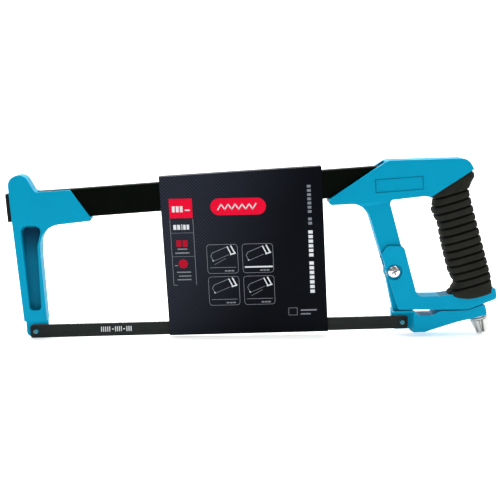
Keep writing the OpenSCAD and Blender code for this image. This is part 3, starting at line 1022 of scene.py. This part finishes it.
class Print:
    # Thin closed patches of one ink that lie on a surface
    def __init__(self, surface, depth):
        self.surface, self.depth = surface, depth
        self.points, self.faces = [], []

    def patch(self, outline):
        n, start = len(outline), len(self.points)
        for lift in (self.depth, -0.03):
            for x, z in outline:
                self.points.append(sawPoint(*self.surface(x, z, lift)))
        self.faces += [list(range(start, start + n)), list(range(start + n, start + 2 * n))]
        for i in range(n):
            near, far = start + i, start + (i + 1) % n
            self.faces.append([near, far, far + n, near + n])

    def box(self, x0, z0, x1, z1, parts=1):
        for k in range(parts):
            a, b = z0 + (z1 - z0) * k / parts, z0 + (z1 - z0) * (k + 1) / parts
            self.patch([(x0, a), (x1, a), (x1, b), (x0, b)])

    def disc(self, x, z, radius, sides=20):
        self.patch(arcPoints(x, z, radius, [360 * i / sides for i in range(sides)]))

    def line(self, path, width, closed=False):
        pairs = list(zip(path, path[1:] + path[:1])) if closed else list(zip(path, path[1:]))
        for (x0, z0), (x1, z1) in pairs:
            length = hypot(x1 - x0, z1 - z0)
            dx, dz = (x1 - x0) / length, (z1 - z0) / length
            steps = max(1, ceil(length / 6))
            for k in range(steps):
                a = length * k / steps - width * 0.4 * (k == 0)
                b = length * (k + 1) / steps + width * 0.4 * (k == steps - 1)
                side = [(a, -width / 2), (b, -width / 2), (b, width / 2), (a, width / 2)]
                self.patch([(x0 + dx * s - dz * w, z0 + dz * s + dx * w) for s, w in side])

    def roundBox(self, x0, z0, x1, z1, radius, width):
        west, east, south, north = x0 + radius, x1 - radius, z0 + radius, z1 - radius
        path = []
        for x, z, turn in ((east, north, 0), (west, north, 90), (west, south, 180), (east, south, 270)):
            path += arcPoints(x, z, radius, range(turn, turn + 91, 45))
        self.line(path, width, closed=True)

    def blocks(self, x0, x1, z0, z1, count, gap, upright=False):
        # A row of plain blocks; upright runs it up the card.
        length = (z1 - z0 if upright else x1 - x0) / count
        for k in range(count):
            if upright:
                self.box(x0, z0 + length * k, x1, z0 + length * (k + 1) - gap)
            else:
                self.box(x0 + length * k, z0, x0 + length * (k + 1) - gap, z1)

    def make(self, name, look, body, slot):
        piece = addPiece(name, meshOf(name, self.points, self.faces), look)
        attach(piece, body)


def onCard(x, z, lift):
    x -= sleeve["slant"] * (z - 60)
    return x, -cardHalf(x, z) - lift, z


def onBlade(x, z, lift):
    return x, -blade["thickness"] / 2 - lift, z


pictures = {
    "columns": (140.3, 168.9),
    "rows": (45.0, 18.4),
    "size": (24.8, 23.8),
    "corner": 2.2,
    "line": 0.32,
}


def drawSaw(ink, bold, x, z, turned):
    # A small plain saw: frame, two-bar handle and blade
    def spot(a, b):
        return x + a, z + b
    ink.line([spot(4.6, 11.0), spot(3.0, 14.4), spot(4.4, 17.0), spot(15.8, 21.6)], 0.42)
    ink.line([spot(5.2, 10.2), spot(17.4, 15.2)], 0.3)
    if turned:
        ink.line([spot(6.0, 7.4), spot(15.0, 12.2)], 0.3)
    bold.line([spot(16.6, 21.8), spot(19.6, 15.4)], 0.9)
    bold.line([spot(19.6, 22.4), spot(22.6, 16.4)], 1.1)
    bold.line([spot(19.0, 15.4), spot(22.9, 16.6)], 1.0)
    bold.disc(*spot(4.8, 10.6), 0.55, 12)


def printCard():
    white, grey, red = (Print(onCard, sleeve["ink"]) for _ in range(3))
    lower = Print(onCard, sleeve["ink"] * 0.5)
    # Column at the left: a red field, two red signs, and plain bars between ruled lines
    left, right, top, foot = 112.2, 130.6, 106.6, 35.9
    grey.line([(left, 90), (left, foot + 0.2), (left + 3, foot)], 0.35)
    grey.line([(right, 90), (right, foot + 0.2)], 0.35)
    lower.box(left, 91, right, top, 3)
    white.blocks(left + 2.2, left + 11.6, 95.8, 100.6, 3, 0.9)
    white.box(left + 12.4, 96.8, left + 16.4, 97.8)
    white.blocks(left + 2.4, left + 8.6, 81.6, 85.6, 2, 0.7)
    white.box(left + 9.0, 81.4, left + 9.6, 86.0)
    white.blocks(left + 10.3, left + 15.8, 81.6, 85.6, 2, 0.7)
    for z in (78.9, 59.6):
        grey.line([(left + 0.4, z), (right - 0.4, z)], 0.22)
    for x in (left + 6.0, left + 11.0):
        red.box(x - 1.9, 67.6, x + 1.9, 73.0)
    red.disc(left + 8.6, 53.6, 3.9, 8)
    grey.box(left + 4.6, 65.2, left + 12.6, 66.2)
    grey.box(left + 2.8, 62.0, left + 14.0, 63.0)
    grey.box(left + 1.8, 51.8, left + 4.2, 52.6)
    for z, wide in ((46.2, 10.5), (43.0, 9.0), (40.0, 10.5)):
        grey.box(left + 13.6 - wide, z, left + 14.4, z + 0.9)
    # A plain red lozenge with a white line of saw teeth
    ends = arcPoints(152, 99.5, 6.8, range(90, 271, 15)) + arcPoints(183, 99.5, 6.8, range(-90, 91, 15))
    lower.patch(ends)
    white.line([(151 + 2.8 * k, 97.2 + 4.4 * (k % 2)) for k in range(12)], 0.9)
    # Four pictures of the saw
    wide, high = pictures["size"]
    for i, x in enumerate(pictures["columns"]):
        for j, z in enumerate(pictures["rows"]):
            grey.roundBox(x, z, x + wide, z + high, pictures["corner"], pictures["line"])
            drawSaw(grey, white, x, z, (i + j) % 2 == 0)
            if (i, j) == (1, 0):
                white.line([(x + 2, z + 4.8), (x + wide - 1, z + 4.8)], 1.2)
            else:
                grey.line([(x + 2, z + 4.8), (x + wide - 2, z + 4.8)], 0.35)
            grey.blocks(x + wide - 11, x + wide - 3, z + 1.4, z + 2.5, 3, 0.5)
    # Column of plain blocks at the right
    x0, x1 = 223.0, 226.6
    white.blocks(x0, x1, 26.9, 54.4, 7, 1.2, upright=True)
    white.blocks(x0, x1, 57.2, 80.0, 6, 1.2, upright=True)
    grey.blocks(x0 + 0.3, x1 - 0.3, 83.6, 90.6, 2, 1.3, upright=True)
    grey.blocks(x0 + 0.3, x1 - 0.3, 93.2, 117.0, 7, 1.3, upright=True)
    grey.line([(204.6, 8.6), (211.6, 8.6), (211.6, 14.6), (204.6, 14.6)], 0.35, closed=True)
    grey.box(214.4, 11.9, 227.6, 13.1)
    grey.box(214.4, 8.8, 222.6, 9.9)
    white.make("cardInkWhite", "whiteInk", "sleeve", "printed_card")
    grey.make("cardInkGrey", "greyInk", "sleeve", "printed_card")
    lower.make("cardInkField", "redInk", "sleeve", "printed_card")
    red.make("cardInkRed", "darkRedInk", "sleeve", "printed_card")
    mark = Print(onBlade, 0.03)
    mark.blocks(52.4, 60.8, -2.0, 2.2, 5, 0.95)
    mark.box(61.4, -0.5, 62.6, 0.5)
    mark.blocks(63.8, 70.2, -2.0, 2.2, 4, 0.9)
    mark.box(70.6, -0.5, 71.8, 0.5)
    mark.blocks(73.0, 78.2, -2.0, 2.2, 3, 0.9)
    mark.make("bladeInk", "whiteInk", "root", "blade_steel")


makeSleeve()
printCard()
print("blade and sleeve made")


stage = {
    "eye": (140, -840, 196),   # from the blade's front hole
    "pitch": 9.0,
    "yaw": 2.41,
    "roll": 0.91,
    "lens": 75.3,
    "near": -3.0,
    "back": 2.2,
    "sweepRadius": 1.2,
    "wall": 4.0,
    "half": 4.0,
    "floorShade": 0.93,
    "floorGlow": 0.42,
    "room": 0.2,
}


def makeStage():
    scene = bpy.context.scene
    scene.view_settings.view_transform = "Standard"
    pitch, yaw, roll = (radians(stage[k]) for k in ("pitch", "yaw", "roll"))
    forward = Vector((sin(yaw) * cos(pitch), cos(yaw) * cos(pitch), -sin(pitch)))
    level = Vector((cos(yaw), -sin(yaw), 0))
    up = level.cross(forward)
    side, top = level * cos(roll) - up * sin(roll), up * cos(roll) + level * sin(roll)
    data = bpy.data.cameras.new("camera")
    data.lens = stage["lens"]
    data.sensor_width = 36
    data.clip_end = 20
    camera = bpy.data.objects.new("camera", data)
    aimed = Matrix((side, top, -forward)).transposed().to_4x4()
    camera.matrix_world = Matrix.Translation(sawPoint(*stage["eye"])) @ aimed
    scene.collection.objects.link(camera)
    scene.camera = camera

    # The saw stands on the knob and on the blade's front end; the floor sweeps up behind it.
    knobLow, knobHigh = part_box("tension_knob")
    middle = (knobLow.x + knobHigh.x) / 2
    slope = (bladeLow.z - knobLow.z) / (middle - bladeLow.x)
    sweep = [(stage["near"], 0.0)]
    radius, back = stage["sweepRadius"], stage["back"]
    for k in range(25):
        turn = radians(90 * k / 24)
        sweep.append((back - radius + radius * sin(turn), radius * (1 - cos(turn))))
    sweep.append((back, stage["wall"]))
    corners, faces = [], []
    for y, z in sweep:
        for x in (-stage["half"], stage["half"]):
            tilt = slope * (x - middle) * (z < 0.001)
            corners.append((x, y, knobLow.z - tilt - 0.0002 + z))
    for k in range(len(sweep) - 1):
        faces.append([2 * k, 2 * k + 1, 2 * k + 3, 2 * k + 2])
    floor = bpy.data.objects.new("floor", meshOf("floor", corners, faces))
    smooth(floor.data)
    if floor.data.polygons[0].normal.z < 0:
        floor.data.flip_normals()
    scene.collection.objects.link(floor)

    def paleFloor(board):
        mottle = board.noise(board.place(), 1 / 400, 2)
        shade = stage["floorShade"]
        colour = board.mix(mottle, (shade,) * 3 + (1,), (shade + 0.02,) * 3 + (1,))
        glow = {"Emission Color": (1, 1, 1, 1), "Emission Strength": stage["floorGlow"]}
        return {**paint(colour, 0.9, 0.1), **glow}, None, 0

    floor.data.materials.append(finishOf("paleFloor", paleFloor))

    world = bpy.data.worlds.new("room")
    scene.world = world
    world.use_nodes = True
    board = Board(world.node_tree)
    room = board.node("ShaderNodeBackground", None, {"Color": (1, 1, 1, 1), "Strength": stage["room"]})
    board.node("ShaderNodeOutputWorld", None, {"Surface": room})

    target = sawPoint(180, 0, 60)
    for name, place, size, power in (
        ("keyLight", (-0.7, -1.1, 1.5), (1.0, 1.0), 3),
        ("fillLight", (1.1, -1.2, 0.9), (0.9, 1.2), 1.5),
        ("topLight", (0.1, 0.2, 1.5), (2.4, 0.8), 30),
        ("wallLight", (0.0, 0.2, 1.9), (3.0, 0.6), 50),
    ):
        lamp = bpy.data.lights.new(name, "AREA")
        lamp.shape = "RECTANGLE"
        lamp.size, lamp.size_y = size
        lamp.energy = power
        light = bpy.data.objects.new(name, lamp)
        light.location = place
        aim = Vector((0, stage["back"], 0.5)) if name == "wallLight" else target
        light.rotation_euler = (aim - Vector(place)).to_track_quat("-Z", "Y").to_euler()
        scene.collection.objects.link(light)


makeStage()
print("stage made")
